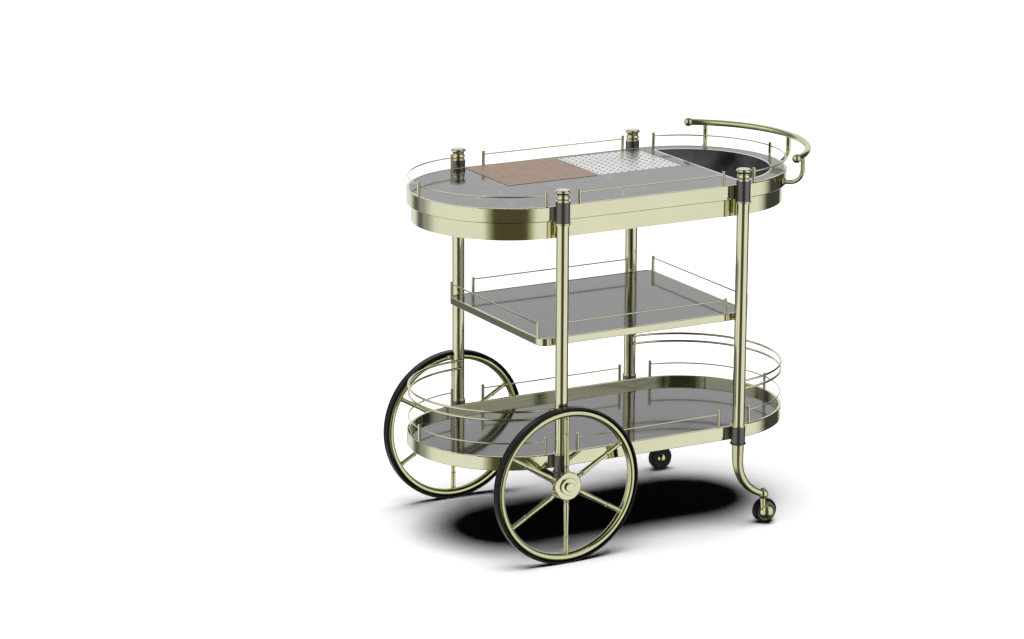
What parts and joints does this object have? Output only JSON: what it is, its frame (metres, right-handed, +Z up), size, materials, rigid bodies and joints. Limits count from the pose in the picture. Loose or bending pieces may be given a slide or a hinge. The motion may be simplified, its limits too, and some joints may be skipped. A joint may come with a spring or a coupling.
{
  "type": "beverage service trolley",
  "caption": "Three-deck drinks trolley with two large spoked wheels, swivelling casters, push handle, ice well, drip tray, cutting board and stem rack.",
  "frame": {"origin": "on the floor, under the middle of the overall box", "axes": "+X towards the push handle, +Y across the trolley to its rear side, +Z up"},
  "size_m": [1.059, 0.627, 0.9303],
  "materials": {
    "brass": "polished",
    "gunmetal": "satin",
    "stone": "polished",
    "walnut": "oiled",
    "steel": "bright",
    "rubber": "satin",
    "caster_tread": "satin"
  },
  "bodies": {
    "frame": {"post_front_left": "brass", "post_front_right": "brass", "post_rear_left": "brass", "post_rear_right": "brass", "finials": "brass", "upper_collars": "gunmetal", "lower_collars": "gunmetal", "top_rim": "brass", "top_slab": "stone", "top_apron": "brass", "top_underpanel": "gunmetal", "top_gallery_posts": "brass", "top_gallery_left_wire": "brass", "top_gallery_right_wire": "brass", "top_gallery_side_wires": "brass", "shelf_rim": "brass", "shelf_slab": "stone", "shelf_gallery_posts": "brass", "shelf_gallery_wires": "brass", "shelf_standoffs": "brass", "lower_rim": "brass", "lower_slab": "stone", "lower_gallery_posts": "brass", "lower_gallery_left_wire": "brass", "lower_gallery_right_wire": "brass", "lower_gallery_side_wires": "brass", "guard_rods_left": "brass", "guard_rods_right": "brass", "handle_bar": "brass", "handle_balls": "brass", "handle_arms": "brass", "handle_flanges": "brass", "stem_rack": "steel", "leg_front": "brass", "leg_rear": "brass", "leg_sockets": "brass", "axle_tube": "gunmetal", "axle_brackets": "gunmetal", "axle": "steel", "axle_nuts": "steel"},
    "front_wheel": {"tyre_front": "rubber", "wheel_rim_front": "brass", "spokes_front": "brass", "hub_front": "brass", "hub_cap_front": "brass"},
    "front_caster": {"caster_yoke_front": "brass", "caster_axle_front": "brass"},
    "front_caster_wheel": {"caster_wheel_front": "caster_tread"},
    "rear_wheel": {"tyre_rear": "rubber", "wheel_rim_rear": "brass", "spokes_rear": "brass", "hub_rear": "brass", "hub_cap_rear": "brass"},
    "rear_caster": {"caster_yoke_rear": "brass", "caster_axle_rear": "brass"},
    "rear_caster_wheel": {"caster_wheel_rear": "caster_tread"},
    "cutting_board": {"cutting_board": "walnut"},
    "drip_tray": {"drip_tray": "steel"},
    "drip_plate": {"drip_plate": "steel"},
    "ice_well": {"ice_well": "steel"}
  },
  "joints": [
    {"name": "front_wheel_spin", "type": "hinge", "parent": "frame", "child": "front_wheel", "pos_m": [-0.28, -0.2915, 0.1935], "axis": [0, 1, 0], "continuous": true},
    {"name": "front_caster_swivel", "type": "hinge", "parent": "frame", "child": "front_caster", "pos_m": [0.29848, -0.2637, 0.078], "axis": [0, 0, 1], "continuous": true},
    {"name": "front_caster_roll", "type": "hinge", "parent": "front_caster", "child": "front_caster_wheel", "pos_m": [0.31048, -0.2517, 0.031], "axis": [0, 1, 0], "continuous": true},
    {"name": "rear_wheel_spin", "type": "hinge", "parent": "frame", "child": "rear_wheel", "pos_m": [-0.28, 0.2915, 0.1935], "axis": [0, 1, 0], "continuous": true},
    {"name": "rear_caster_swivel", "type": "hinge", "parent": "frame", "child": "rear_caster", "pos_m": [0.29848, 0.2637, 0.078], "axis": [0, 0, 1], "continuous": true},
    {"name": "rear_caster_roll", "type": "hinge", "parent": "rear_caster", "child": "rear_caster_wheel", "pos_m": [0.31048, 0.2517, 0.031], "axis": [0, 1, 0], "continuous": true},
    {"name": "cutting_board_lift", "type": "slide", "parent": "frame", "child": "cutting_board", "axis": [0, 0, 1], "range_m": [0, 0.1]},
    {"name": "drip_tray_lift", "type": "slide", "parent": "frame", "child": "drip_tray", "axis": [0, 0, 1], "range_m": [0, 0.12]},
    {"name": "drip_plate_lift", "type": "slide", "parent": "drip_tray", "child": "drip_plate", "axis": [0, 0, 1], "range_m": [0, 0.1]},
    {"name": "ice_well_lift", "type": "slide", "parent": "frame", "child": "ice_well", "axis": [0, 0, 1], "range_m": [0, 0.15]}
  ]
}
